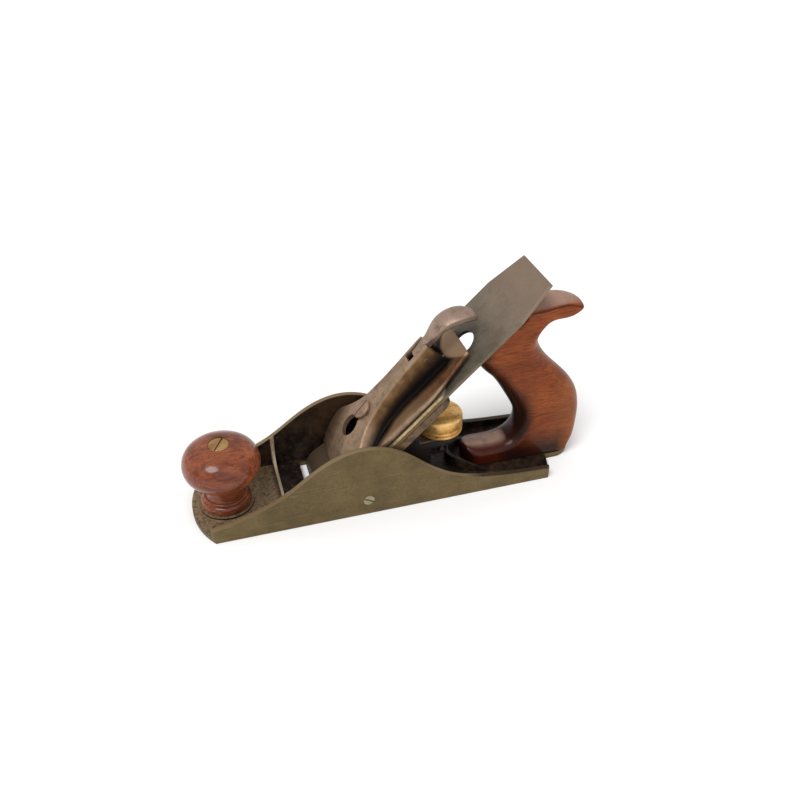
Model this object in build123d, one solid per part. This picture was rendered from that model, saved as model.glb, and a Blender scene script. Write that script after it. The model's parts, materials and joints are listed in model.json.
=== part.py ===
from build123d import *
import math
import os

# Smoothing plane of the nine-inch class, in millimetres.
# +X runs from the toe to the heel, +Z up from the sole; the origin is the middle of the sole's face.
# Iron parts are drawn flat in bed coordinates (s up the bed, y across, n off the bed) and then tilted.

# Sole and cheeks
SOLE_W = 62.8            # across the cheeks
SIDE_LEN = 217.0         # corner to corner along one cheek
TOE_BOW = 10.8           # how far the toe bows out between its corners
HEEL_BOW = 6.4
FLOOR_T = 4.0
CHEEK_T = 3.5
CHEEK_TOP = 50.4
CHEEK_TOE = 8.2          # height of the cheeks at the toe
CHEEK_HEEL = 7.4
TAIL_R = 12.6            # half-width of the tail that carries the tote's heel
TAIL_END = 134.0
RIB_X = -63.0
RIB_T = 1.8
MOUTH_FRONT = -47.0
SEAT_R = 17.0            # round pad under the knob
SEAT_TOP = 5.2

# Knob and tote
KNOB_X = -97.5
KNOB_R = 23.8
KNOB_TOP = 50.2
KNOB_FOOT_R = 14.6
KNOB_WAIST_R = 11.6
ROD_R = 2.8              # knob bolt and tote rod
NUT_R = 6.4
NUT_DEPTH = 7.0
TOTE_W = 24.0
TOTE_TOE_X = 57.0
TOTE_TOP = 118.2
TOTE_ROD_TILT = -17.0
TOTE_ROD_FOOT = 112.0
TOTE_ROD_LEN = 103.0
SOCKET_X = 77.0          # middle of the horseshoe wall round the tote's toe
SOCKET_LEN = 30.0
SOCKET_HALF = 18.6
SOCKET_T = 2.6
SOCKET_TOP = 12.2

# Bed and irons
BED_ANGLE = 44.0
BED_X = -42.5            # where the cutter's top face meets the sole
IRON_W = 52.0
CUTTER_T = 2.2
CUTTER_LEN = 198.6
CUTTER_SET = 0.3         # cutting edge held this far back at rest
CAP_IRON_T = 2.2
CAP_IRON_END = 112.5
LEVER_TIP_S = 48.0
CAP_SCREW_S = 64.5
IRON_SCREW_S = 80.0
CUTTER_HOLE_S = 136.5
CUTTER_HOLE_R = 8.3

# Frog
FROG_W = 53.0
FROG_T = 4.8
FROG_TOP_S = 109.0
FROG_RIB_Y = 8.0         # inner face of each rib
FROG_RIB_T = 4.0
FROG_FOOT_T = 5.0
FROG_FOOT_X = 33.0       # rear end of ribs and feet
FROG_SCREW_X = 27.0
FROG_SCREW_Y = 20.6
FROG_SCREW_R = 2.4
FROG_HEAD_R = 3.9
FROG_HEAD_T = 2.6
WASHER_R = 4.6
WASHER_T = 1.0
CROSS_X = -13.2          # cross screw through the near cheek
CROSS_Z = 10.7
CROSS_R = 2.4
CROSS_HEAD_R = 3.4
CROSS_HEAD_T = 2.4

# Adjuster
WHEEL_X = 42.5
WHEEL_R = 14.7
WHEEL_Z = 33.0           # underside of the wheel's body
WHEEL_TOP = 47.8
GROOVE_DEPTH = 0.9
FLANGE_R = 10.0          # the wheel's bottom flange, held down by the fork
NECK_R = 7.5
FLANGE_DROP = 3.1
SHELF_TOP = 31.2
SHELF_LOW = 27.3
SHELF_R = 12.4
FORK_T = 1.4
FORK_R = 11.6
FORK_GAP = 7.9
FORK_SCREW_X = 19.6
FORK_SCREW_Y = 4.6
FORK_SCREW_R = 1.6
FORK_HEAD_R = 3.1
POST_R = 3.0
LINK_PIN_R = 1.5
LINK_PIN_HALF = 6.4
PIVOT_PIN_R = 2.0
CRANK_R = 5.0            # hub of the bell crank
PIVOT_N = -14.0          # lever pivot, below the bed
PIN_Z = 20.0             # height of the post's cross pin
RUN = 0.05               # radial clearance of a running fit

# Lever cap
CAP_LIFT = 3.2           # underside of the cap above the cutter
CAP_TIP_S = 22.0
CAP_TOP_S = 137.0
CAP_W = 50.8
CAP_END_HALF = 17.0
WING_T = 2.2
CAP_HEAD_N = 17.6        # underside of the lever cap screw's head
CAP_HEAD_R = 6.3
CAP_HEAD_T = 2.0
CAP_SCREW_R = 3.2
KEY_LARGE_R = 7.1
KEY_SMALL_R = 3.7
KEY_PITCH = 13.0

# Thumb lever and its spring
CAM_S = 115.6
CAM_N = 14.5
CAM_HALF = 3.4
CAM_PIN_R = 1.8
CAM_PIN_HALF = 7.4
CAM_R = 5.0
CAM_HEEL_N = 3.2         # lowest point of the closed cam, just over the spring
CAM_SLOT_S = 107.2       # front end of the slot in the cap's spine
PAD_HALF = 8.2
SPRING_S = 88.0          # where the spring is riveted
SPRING_HALF = 3.2
SPRING_T = 0.8
SPRING_TOP = 6.4
RIVET_R = 1.6

OUT = "parts"
os.makedirs(OUT, exist_ok=True)

COS = math.cos(math.radians(BED_ANGLE))
SIN = math.sin(math.radians(BED_ANGLE))
BED = Plane(origin=(BED_X, 0, 0), x_dir=(COS, 0, SIN), z_dir=(-SIN, 0, COS))


def bed_point(s, n):
    """Row-frame X and Z of a point s up the bed and n off the cutter's top face."""
    return BED_X + s * COS - n * SIN, s * SIN + n * COS


PIVOT_X, PIVOT_Z = bed_point(LEVER_TIP_S, PIVOT_N)


def side_plate(outline, y_low, y_high):
    """Solid of a closed side-view outline (x, z), between two widths."""
    face = Plane.XZ * make_face(outline)
    return extrude(face, amount=y_high - y_low, dir=(0, 1, 0)).translate((0, y_low, 0))


def cross_rod(x, z, radius, y_low, y_high):
    """Round rod along Y."""
    rod = Cylinder(radius, y_high - y_low, rotation=(90, 0, 0))
    return rod.translate((x, (y_low + y_high) / 2, z))


def upright(radius, x, y, z_low, z_high):
    """Round rod along Z."""
    return Pos(x, y, (z_low + z_high) / 2) * Cylinder(radius, z_high - z_low)


def block(x_low, x_high, y_low, y_high, z_low, z_high):
    """Box between two corners."""
    size = (x_high - x_low, y_high - y_low, z_high - z_low)
    return Pos((x_low + x_high) / 2, (y_low + y_high) / 2, (z_low + z_high) / 2) * Box(*size)


def turned(profile):
    """Solid of revolution about Z from a closed outline (radius, height)."""
    return revolve(Plane.XZ * make_face(profile), axis=Axis.Z)


def screw_slot(radius, top, width=1.2, depth=1.3):
    """Bar that cuts a screwdriver slot into a head whose top is at z = top."""
    return block(-radius - 1, radius + 1, -width / 2, width / 2, top - depth, top + 1)


# ---------------------------------------------------------------- body casting

def sole_outline():
    """Plan of the sole: straight sides with bowed toe and heel."""
    half, end = SOLE_W / 2, SIDE_LEN / 2
    return [
        Line((-end, half), (end, half)),
        ThreePointArc((end, half), (end + HEEL_BOW, 0), (end, -half)),
        Line((end, -half), (-end, -half)),
        ThreePointArc((-end, -half), (-end - TOE_BOW, 0), (-end, half)),
    ]


def cheek_outline():
    """Side view of a cheek: low at both ends, one tall hump beside the iron."""
    toe, heel = -SIDE_LEN / 2 - TOE_BOW, SIDE_LEN / 2 + HEEL_BOW
    hump = Spline(
        (toe, CHEEK_TOE), (-104, 10.6), (-86, 15.8), (-64, 26.0), (-42, 41.8), (-17, CHEEK_TOP),
        (8, 43.2), (25, 29.4), (42, 18.0), (66, 11.3), (92, 8.8), (heel, CHEEK_HEEL),
    )
    return [
        hump,
        Line((heel, CHEEK_HEEL), (heel, 0)),
        Line((heel, 0), (toe, 0)),
        Line((toe, 0), (toe, CHEEK_TOE)),
    ]


def cheeks(plan):
    half = SOLE_W / 2
    wall = side_plate(cheek_outline(), half - CHEEK_T, half)
    wall += side_plate(cheek_outline(), -half, CHEEK_T - half)
    return wall & extrude(plan, amount=CHEEK_TOP + 5)


def toe_rib():
    """Thin rib across the floor that climbs both cheeks in a sweep."""
    inner = SOLE_W / 2 - CHEEK_T + 0.2
    rise, low = 23.5, FLOOR_T + 2.4
    sweep = [
        Line((-inner, FLOOR_T - 1), (inner, FLOOR_T - 1)),
        Line((inner, FLOOR_T - 1), (inner, rise)),
        Spline((inner, rise), (inner - 6, low + 3), (inner - 17, low), tangents=[(-0.05, -1), (-1, 0)]),
        Line((inner - 17, low), (17 - inner, low)),
        Spline((17 - inner, low), (6 - inner, low + 3), (-inner, rise), tangents=[(-1, 0), (-0.05, 1)]),
        Line((-inner, rise), (-inner, FLOOR_T - 1)),
    ]
    face = Plane(origin=(RIB_X - RIB_T / 2, 0, 0), x_dir=(0, 1, 0), z_dir=(1, 0, 0)) * make_face(sweep)
    return extrude(face, amount=RIB_T, dir=(1, 0, 0))


def tote_socket():
    """Horseshoe wall round the tote's toe, tall in front and run out to the floor behind."""
    ring = Ellipse(SOCKET_LEN, SOCKET_HALF) - Ellipse(SOCKET_LEN - SOCKET_T, SOCKET_HALF - SOCKET_T)
    horseshoe = extrude(Pos(SOCKET_X, 0, FLOOR_T - 0.5) * ring, amount=SOCKET_TOP)
    front, rear, sunk, over = SOCKET_X - 37, SOCKET_X + 43, FLOOR_T - 0.6, SOCKET_TOP + 8
    above = Polyline(
        (front, SOCKET_TOP), (SOCKET_X - 23, SOCKET_TOP), (SOCKET_X - 2, sunk),
        (rear, sunk), (rear, over), (front, over), close=True,
    )
    return horseshoe - side_plate(above, -SOCKET_HALF - 5, SOCKET_HALF + 5)


def mouth_cut():
    """Throat through the sole: square in front, sloped with the bed behind."""
    half = IRON_W / 2 + 0.5
    under = CUTTER_T + 0.1
    low = bed_point(-1.5, -under)
    high = bed_point(9.0, -under)
    edge = Polyline((MOUTH_FRONT, low[1]), low, high, (MOUTH_FRONT, high[1]), close=True)
    return side_plate(edge, -half, half)


def body_casting():
    plan = make_face(sole_outline())
    tail = block(100, TAIL_END - TAIL_R, -TAIL_R, TAIL_R, 0, FLOOR_T)
    tail += upright(TAIL_R, TAIL_END - TAIL_R, 0, 0, FLOOR_T)
    body = extrude(plan, amount=FLOOR_T) + tail + cheeks(plan) + toe_rib() + tote_socket()
    body += upright(SEAT_R, KNOB_X, 0, FLOOR_T - 0.5, SEAT_TOP)
    body -= mouth_cut()
    body -= upright(ROD_R, KNOB_X, 0, -1, SEAT_TOP + 1)
    body -= tote_axis(ROD_R, -12, 30)
    for y in (-FROG_SCREW_Y, FROG_SCREW_Y):
        body -= upright(FROG_SCREW_R, FROG_SCREW_X, y, -1, FLOOR_T + 1)
    body -= cross_rod(CROSS_X, CROSS_Z, CROSS_R, -SOLE_W, SOLE_W)
    return body - cross_rod(CROSS_X, CROSS_Z, CROSS_HEAD_R, -SOLE_W, CROSS_HEAD_T - SOLE_W / 2)


# ------------------------------------------------------------------------ frog

def frog_rib(y_low, y_high):
    """Side web between the sloping bed and the floor, carrying the wheel shelf."""
    under = -CUTTER_T - FROG_T + 0.5
    front = bed_point(15.0, under)
    top = bed_point(98.0, under)
    back = FROG_FOOT_X - 8
    web = Polyline(
        (front[0], FLOOR_T), front, top, (back, top[1] - 14), (back, SHELF_TOP),
        (FROG_FOOT_X, SHELF_TOP), (FROG_FOOT_X, FLOOR_T), close=True,
    )
    return side_plate(web, y_low, y_high)


def frog_bed():
    """Sloping plate that the cutter lies on, with its windows, in bed coordinates."""
    top_n = -CUTTER_T - 0.03
    plate = block(0, FROG_TOP_S, -FROG_W / 2, FROG_W / 2, top_n - FROG_T, top_n)
    plate = fillet(plate.edges().filter_by(Axis.Z).group_by(Axis.X)[-1], 6.0)
    plate -= block(LEVER_TIP_S - 5.4, LEVER_TIP_S + 5.4, -4.2, 4.2, -12, 0)
    plate -= block(IRON_SCREW_S - 10.5, IRON_SCREW_S + 10.5, -8.6, 8.6, -12, 0)
    plate -= Pos(CAP_SCREW_S, 0, -6) * Cylinder(CAP_SCREW_R, 12)
    return BED * plate


def frog():
    body = frog_bed()
    for side in (-1, 1):
        near, far = sorted((side * FROG_RIB_Y, side * (FROG_RIB_Y + FROG_RIB_T)))
        body += frog_rib(near, far)
        low, high = sorted((side * FROG_RIB_Y, side * (FROG_W / 2)))
        body += block(4, FROG_FOOT_X, low, high, FLOOR_T, FLOOR_T + FROG_FOOT_T)
        front = bed_point(17.0, -CUTTER_T - 3)
        body += block(front[0], -6, low, high, FLOOR_T, FLOOR_T + 4)
    body += block(14, WHEEL_X, -SHELF_R, SHELF_R, SHELF_LOW, SHELF_TOP)
    body += upright(SHELF_R, WHEEL_X, 0, SHELF_LOW, SHELF_TOP)
    body -= block(-80, 60, -40, 40, -20, FLOOR_T)
    body -= upright(FLANGE_R + 0.4, WHEEL_X, 0, WHEEL_Z - FLANGE_DROP - 0.1, SHELF_TOP + 1)
    body -= upright(POST_R + RUN, WHEEL_X, 0, 20, 40)
    for y in (-FROG_SCREW_Y, FROG_SCREW_Y):
        body -= upright(FROG_SCREW_R + 0.6, FROG_SCREW_X, y, 0, 12)
    for y in (-FORK_SCREW_Y, FORK_SCREW_Y):
        body -= upright(FORK_SCREW_R, FORK_SCREW_X, y, 20, 40)
    body -= cross_rod(CROSS_X, CROSS_Z, CROSS_R, -40, 40)
    body -= cross_rod(PIVOT_X, PIVOT_Z, PIVOT_PIN_R, -40, 40)
    return body


def frog_screws():
    """Cheese-head screws down through the rear feet into the floor."""
    top = FLOOR_T + FROG_FOOT_T + WASHER_T
    screws = []
    for y in (-FROG_SCREW_Y, FROG_SCREW_Y):
        screw = upright(FROG_HEAD_R, 0, 0, top, top + FROG_HEAD_T) + upright(FROG_SCREW_R, 0, 0, 0.4, top)
        screws.append(Pos(FROG_SCREW_X, y, 0) * (screw - screw_slot(FROG_HEAD_R, top + FROG_HEAD_T)))
    return Compound(children=screws)


def frog_washers():
    z = FLOOR_T + FROG_FOOT_T
    rings = []
    for y in (-FROG_SCREW_Y, FROG_SCREW_Y):
        disc = upright(WASHER_R, FROG_SCREW_X, y, z, z + WASHER_T)
        rings.append(disc - upright(FROG_SCREW_R, FROG_SCREW_X, y, z - 1, z + 3))
    return Compound(children=rings)


def frog_cross_screw():
    """Slotted screw from the near cheek, through the frog, into the far cheek."""
    half = SOLE_W / 2
    screw = cross_rod(CROSS_X, CROSS_Z, CROSS_HEAD_R, -half, CROSS_HEAD_T - half)
    screw += cross_rod(CROSS_X, CROSS_Z, CROSS_R, CROSS_HEAD_T - half, half)
    slot = Pos(CROSS_X, -half, CROSS_Z) * Rot(0, 28, 0) * Box(9, 2.2, 0.9)
    return screw - slot


# ----------------------------------------------------------------- front knob

def knob_profile():
    """Half section: foot ring, bead, waist and mushroom head."""
    foot, waist, neck_z = KNOB_FOOT_R, KNOB_WAIST_R, 13.2
    return [
        Line((0, SEAT_TOP), (foot, SEAT_TOP)),
        Spline((foot, SEAT_TOP), (foot + 1.1, 8.0), (foot - 0.8, 11.0), tangents=[(0.8, 0.6), (-0.6, 0.3)]),
        ThreePointArc((foot - 0.8, 11.0), (foot - 0.7, 12.6), (waist + 0.8, neck_z)),
        Spline((waist + 0.8, neck_z), (waist, 17.5), (waist + 1.0, 23.6), tangents=[(-0.5, 0.8), (0.5, 0.8)]),
        Spline((waist + 1.0, 23.6), (18.8, 26.0), (22.9, 31.2), (KNOB_R, 37.4), (21.2, 44.0), (15.0, 48.4),
               (8.0, KNOB_TOP)),
        Line((8.0, KNOB_TOP), (0, KNOB_TOP)),
        Line((0, KNOB_TOP), (0, SEAT_TOP)),
    ]


def front_knob():
    knob = turned(knob_profile())
    knob -= upright(ROD_R, 0, 0, 0, 60)
    knob -= upright(NUT_R, 0, 0, KNOB_TOP - NUT_DEPTH, 60)
    return Pos(KNOB_X, 0, 0) * knob


def knob_bolt():
    return upright(ROD_R, KNOB_X, 0, 0.3, KNOB_TOP - NUT_DEPTH)


def barrel_nut(radius, top, depth):
    """Slotted round nut with a slightly domed top."""
    nut = upright(radius, 0, 0, top - depth, top)
    nut = chamfer(nut.edges().group_by(Axis.Z)[-1], 0.4)
    return nut - screw_slot(radius, top, 1.1, 1.2)


def knob_nut():
    return Pos(KNOB_X, 0, 0) * Rot(0, 0, 62) * barrel_nut(NUT_R, KNOB_TOP - 0.1, NUT_DEPTH - 0.1)


# ------------------------------------------------------------------ rear tote

def tote_axis(radius, low, high):
    """Rod along the tote's own axis, between two distances from its foot."""
    rod = Pos(0, 0, (low + high) / 2) * Cylinder(radius, high - low)
    return Pos(TOTE_ROD_FOOT, 0, 0) * Rot(0, TOTE_ROD_TILT, 0) * rod


def tote_outline():
    """Side view of the handle: toe, hand gap, nose under the iron, horn and palm swell."""
    gap = Spline(
        (61.5, 17.6), (76.0, 16.8), (89.6, 20.2), (94.4, 31.0), (88.6, 47.8), (75.6, 68.0), (64.0, 81.6),
        tangents=[(1, -0.1), (-0.6, 0.9)],
    )
    nose = Spline(
        (64.0, 81.6), (63.6, 89.6), (72.6, 100.6), (91.0, 113.4), (112.0, TOTE_TOP),
        tangents=[(-0.6, 0.9), (1, 0.06)],
    )
    horn = Spline(
        (112.0, TOTE_TOP), (126.0, 116.6), (132.2, 112.2), (127.6, 107.4), (114.4, 105.4), (104.4, 97.0),
        tangents=[(1, 0.06), (-0.25, -1)],
    )
    palm = Spline(
        (104.4, 97.0), (108.4, 82.6), (122.6, 66.4), (135.4, 49.6),
        (138.8, 31.0), (137.0, 15.4), (131.6, FLOOR_T),
        tangents=[(-0.25, -1), (-0.6, -1)],
    )
    foot = Line((131.6, FLOOR_T), (58.6, FLOOR_T))
    toe = Spline((58.6, FLOOR_T), (TOTE_TOE_X, 11.4), (61.5, 17.6), tangents=[(-0.3, 1), (1, -0.1)])
    return [gap, nose, horn, palm, foot, toe]


def rear_tote():
    half, top = TOTE_W / 2, TOTE_TOP + 2
    plan = upright(half, TOTE_TOE_X + half, 0, 0, top) + block(TOTE_TOE_X + half, 150, -half, half, 0, top)
    tote = side_plate(tote_outline(), -half, half) & plan
    tote -= tote_axis(ROD_R, -20, 140)
    return tote - tote_axis(NUT_R, TOTE_ROD_LEN, 140)


def tote_rod():
    rod = tote_axis(ROD_R, -4, TOTE_ROD_LEN)
    return rod - block(90, 140, -10, 10, -10, 0.3)


def tote_nut():
    nut = barrel_nut(NUT_R, TOTE_ROD_LEN + 7.5, 7.5)
    return Pos(TOTE_ROD_FOOT, 0, 0) * Rot(0, TOTE_ROD_TILT, 0) * nut


# ------------------------------------------------------------- depth adjuster

def wheel_profile():
    """Half section: flange under the fork, neck, rim with two grooves and low domed top."""
    edge, groove, bore = WHEEL_R, WHEEL_R - GROOVE_DEPTH, POST_R + RUN
    flange, shoulder, bore_top = WHEEL_Z - FLANGE_DROP, WHEEL_TOP - 4.0, WHEEL_TOP - 2.4
    outline = [(bore, flange), (FLANGE_R, flange), (FLANGE_R, flange + 1.1), (NECK_R, flange + 1.1),
               (NECK_R, WHEEL_Z), (edge - 0.5, WHEEL_Z), (edge, WHEEL_Z + 0.5)]
    for low in (WHEEL_Z + 1.9, WHEEL_Z + 4.5):
        outline += [(edge, low), (groove, low + 0.3), (groove, low + 0.9), (edge, low + 1.2)]
    return [
        Polyline(*outline, (edge, shoulder)),
        Spline((edge, shoulder), (edge - 1.6, shoulder + 2.2), (0, WHEEL_TOP), tangents=[(0, 1), (-1, 0)]),
        Polyline((0, WHEEL_TOP), (0, bore_top), (bore, bore_top), (bore, flange)),
    ]


def depth_wheel():
    return Pos(WHEEL_X, 0, 0) * turned(wheel_profile())


def adjuster_post():
    """Screwed post: the wheel is its nut, and the cross pin stops it from turning."""
    post = upright(POST_R, WHEEL_X, 0, PIN_Z - 3.6, WHEEL_TOP - 6.4)
    return post - cross_rod(WHEEL_X, PIN_Z, LINK_PIN_R, -10, 10)


def post_link_pin():
    return cross_rod(WHEEL_X, PIN_Z, LINK_PIN_R, -LINK_PIN_HALF, LINK_PIN_HALF)


def wheel_fork():
    """Slotted plate on the shelf: its fork holds the wheel's flange down."""
    plate = block(16.4, 30, -FROG_RIB_Y + 0.2, FROG_RIB_Y - 0.2, SHELF_TOP, SHELF_TOP + FORK_T)
    plate += block(25.4, WHEEL_X, -FORK_R, FORK_R, SHELF_TOP, SHELF_TOP + FORK_T)
    plate += upright(FORK_R, WHEEL_X, 0, SHELF_TOP, SHELF_TOP + FORK_T)
    plate -= upright(FORK_GAP, WHEEL_X, 0, SHELF_TOP - 1, SHELF_TOP + 4)
    plate -= block(WHEEL_X, WHEEL_X + 28, -FORK_GAP, FORK_GAP, SHELF_TOP - 1, SHELF_TOP + 4)
    for y in (-FORK_SCREW_Y, FORK_SCREW_Y):
        plate -= upright(FORK_SCREW_R, FORK_SCREW_X, y, SHELF_TOP - 1, SHELF_TOP + 4)
    return plate


def fork_screws():
    top = SHELF_TOP + FORK_T
    screws = []
    for y in (-FORK_SCREW_Y, FORK_SCREW_Y):
        screw = upright(FORK_HEAD_R, 0, 0, top, top + 1.6) + upright(FORK_SCREW_R, 0, 0, SHELF_LOW + 0.1, top)
        screws.append(Pos(FORK_SCREW_X, y, 0) * (screw - screw_slot(FORK_HEAD_R, top + 1.6, 0.8, 0.9)))
    return Compound(children=screws)


def lever_pivot_pin():
    half = FROG_RIB_Y + FROG_RIB_T
    return cross_rod(PIVOT_X, PIVOT_Z, PIVOT_PIN_R, -half, half)


def lever_tine(low, high):
    """One side of the crank's fork, slotted for the post's cross pin."""
    slot_half, reach = LINK_PIN_R + 0.06, 1.4
    tine = block(WHEEL_X - 6.4, WHEEL_X + 3.4, low, high, PIN_Z - 3.6, PIN_Z + 3.6)
    tine -= block(WHEEL_X - reach, WHEEL_X + reach, low - 1, high + 1, PIN_Z - slot_half, PIN_Z + slot_half)
    tine -= cross_rod(WHEEL_X - reach, PIN_Z, slot_half, low - 1, high + 1)
    return tine - cross_rod(WHEEL_X + reach, PIN_Z, slot_half, low - 1, high + 1)


def adjusting_lever():
    """Bell crank: a nose up through cutter and cap iron, a forked arm back to the post."""
    tip_n, outer, inner = CAP_IRON_T / 2, 5.9, 3.6
    proud = CAP_IRON_T + 0.4
    arm = block(LEVER_TIP_S - 1.9, LEVER_TIP_S + 1.9, -3.0, 3.0, PIVOT_N, tip_n)
    nose = Pos(LEVER_TIP_S, 0, tip_n) * Cylinder(2.4, 6.0, rotation=(90, 0, 0))
    nose -= block(LEVER_TIP_S - 3, LEVER_TIP_S + 3, -4, 4, proud, proud + 3)
    lever = BED * (arm + nose)
    lever += cross_rod(PIVOT_X, PIVOT_Z, CRANK_R, -6.0, 6.0)
    end = WHEEL_X - 6.4
    reach = Polyline(
        (PIVOT_X, PIVOT_Z + 3.2), (end, PIN_Z + 3), (end, PIN_Z - 3), (PIVOT_X, PIVOT_Z - 3.2), close=True,
    )
    lever += side_plate(reach, -2.4, 2.4)
    lever += block(end - 3, end + 1, -outer, outer, PIN_Z - 3, PIN_Z + 3)
    lever += lever_tine(-outer, -inner) + lever_tine(inner, outer)
    return lever - cross_rod(PIVOT_X, PIVOT_Z, PIVOT_PIN_R + RUN, -20, 20)


# --------------------------------------------------------------- cutting irons

def cutter():
    """Plane iron: bevelled edge, long slot with a round hole at its top, tapered upper end."""
    half, narrow = IRON_W / 2, 19.6
    end, shoulder, first = CUTTER_LEN + CUTTER_SET, 171.5, CUTTER_SET
    plan = make_face(Polyline(
        (first, -half), (shoulder, -half), (end, -narrow), (end, narrow), (shoulder, half), (first, half),
        close=True,
    ))
    blade = extrude(plan, amount=-CUTTER_T)
    blade -= block(LEVER_TIP_S - 7, CUTTER_HOLE_S, -5.6, 5.6, -5, 5)
    blade -= Pos(LEVER_TIP_S - 7, 0, 0) * Cylinder(5.6, 10)
    blade -= Pos(CUTTER_HOLE_S, 0, 0) * Cylinder(CUTTER_HOLE_R, 10)
    low = -CUTTER_T - 1
    bevel = Polyline((first, 0), (first - 2, 0), (first - 2, low), (first + 6.2, low), close=True)
    blade -= side_plate(bevel, -IRON_W, IRON_W)
    return BED * blade


def cap_iron_side():
    """Side view of the cap iron: sprung hump at the edge, flat strip above it."""
    first = CUTTER_SET + 1.2
    return [
        Line((first, 0.03), (first + 5.0, 1.2)),
        ThreePointArc((first + 5.0, 1.2), (first + 9.4, 1.5), (first + 14.0, 0.03)),
        Line((first + 14.0, 0.03), (CAP_IRON_END, 0.03)),
        Line((CAP_IRON_END, 0.03), (CAP_IRON_END, CAP_IRON_T)),
        Line((CAP_IRON_END, CAP_IRON_T), (21.0, CAP_IRON_T)),
        Spline((21.0, CAP_IRON_T), (11.4, 3.9), (first, 0.03), tangents=[(-1, 0.12), (-0.72, -1)]),
    ]


def cap_iron():
    half = IRON_W / 2
    strip = side_plate(cap_iron_side(), -half, half)
    corners = strip.edges().filter_by(Axis.Z).group_by(Axis.X)[-1]
    strip = fillet(corners, 5.0)
    strip -= block(LEVER_TIP_S - 2.55, LEVER_TIP_S + 2.55, -3.4, 3.4, -3, 6)
    strip -= Pos(CAP_SCREW_S, 0, 0) * Cylinder(4.8, 12)
    strip -= Pos(IRON_SCREW_S, 0, 0) * Cylinder(4.0, 12)
    return BED * strip


def cap_iron_screw():
    """Broad-headed screw up through the cutter's slot into the cap iron."""
    head = Pos(0, 0, -CUTTER_T - 1.4) * Cylinder(7.6, 2.8)
    shank = Pos(0, 0, (CAP_IRON_T - CUTTER_T) / 2) * Cylinder(4.0, CAP_IRON_T + CUTTER_T)
    slot = block(-9, 9, -0.7, 0.7, -CUTTER_T - 4, -CUTTER_T - 1.6)
    return BED * Pos(IRON_SCREW_S, 0, 0) * (head + shank - slot)


# ------------------------------------------------------------------- lever cap

def cap_section(s, crown, crown_half, wing, wing_half, base_half):
    """Cross-section at s: flat crown, hollow flanks, thin wings."""
    lift = CAP_LIFT
    bend = 0.45 * (base_half - crown_half)
    middle = crown_half + bend
    flank = Bezier((crown_half, crown), (middle, crown), (middle, wing), (base_half, wing))
    mirrored = Bezier((-base_half, wing), (-middle, wing), (-middle, crown), (-crown_half, crown))
    edges = [
        Line((-crown_half, crown), (crown_half, crown)),
        flank,
        Line((base_half, wing), (wing_half, wing)),
        Line((wing_half, wing), (wing_half, lift)),
        Line((wing_half, lift), (-wing_half, lift)),
        Line((-wing_half, lift), (-wing_half, wing)),
        Line((-wing_half, wing), (-base_half, wing)),
        mirrored,
    ]
    return Plane(origin=(s, 0, 0), x_dir=(0, 1, 0), z_dir=(1, 0, 0)) * make_face(edges)


def cap_shell():
    """Outer form of the lever cap, from its thick hood at the lip to its thin top end."""
    full = CAP_W / 2
    hood = [
        cap_section(CAP_TIP_S, 4.6, 22.0, 4.0, full, 25.0),
        cap_section(30.0, 10.4, 22.0, 8.6, full, 25.0),
        cap_section(40.0, 15.4, 22.0, 12.8, full, 25.0),
        cap_section(50.0, 16.9, 19.4, 12.6, full, 24.8),
        cap_section(60.0, 17.1, 14.2, 9.2, full, 24.2),
        cap_section(69.0, 17.2, 11.2, 6.8, full, 22.6),
        cap_section(78.0, 18.3, 9.2, 5.6, full, 21.0),
        cap_section(100.0, 20.8, 6.2, 5.4, full, 14.5),
        cap_section(122.5, 22.2, 5.4, 5.4, 20.8, 11.0),
    ]
    return loft(hood, ruled=True)


def cap_hollow():
    """Space under the cap for spring, cam and screw: (first s, last s, half-width, first and last height)."""
    for first, last, half, low, high in (
        (30.0, 58.0, 14.0, 6.0, 13.2), (57.0, 80.0, 8.0, 13.2, 14.4), (79.0, 124.0, 4.3, 14.4, 18.2),
    ):
        yield side_plate(Polyline((first, 0), (last, 0), (last, high), (first, low), close=True), -half, half)


def keyhole():
    """Tool for the keyhole: a large hole that passes the screw's head, with a slot up the bed."""
    large = CAP_SCREW_S - KEY_PITCH
    tool = Pos(large, 0, 14) * Cylinder(KEY_LARGE_R, 24)
    tool += Pos(CAP_SCREW_S, 0, 14) * Cylinder(KEY_SMALL_R, 24)
    return tool + block(large, CAP_SCREW_S, -KEY_SMALL_R, KEY_SMALL_R, 2, 26)


def lever_cap():
    low, start = 21.2, 121.0
    wing = make_face(Polyline(
        (start, -low), (CAP_TOP_S, -CAP_END_HALF), (CAP_TOP_S, CAP_END_HALF), (start, low), close=True,
    ))
    cap = cap_shell() + extrude(Pos(0, 0, CAP_LIFT) * wing, amount=WING_T)
    cap += block(CAP_TIP_S, CAP_TIP_S + 3, -CAP_W / 2, CAP_W / 2, CAP_IRON_T + 0.08, CAP_LIFT + 0.6)
    for space in cap_hollow():
        cap -= space
    cap += block(SPRING_S - 4, SPRING_S + 4, -5.0, 5.0, SPRING_TOP, 17.0)
    cap -= keyhole()
    cap -= block(CAM_SLOT_S, 126, -CAM_HALF - 0.3, CAM_HALF + 0.3, 0, 30)
    cap -= Pos(CAM_S, 0, CAM_N) * Cylinder(CAM_PIN_R, 40, rotation=(90, 0, 0))
    cap -= Pos(SPRING_S, 0, SPRING_TOP) * Cylinder(RIVET_R, 8)
    return BED * cap


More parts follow.
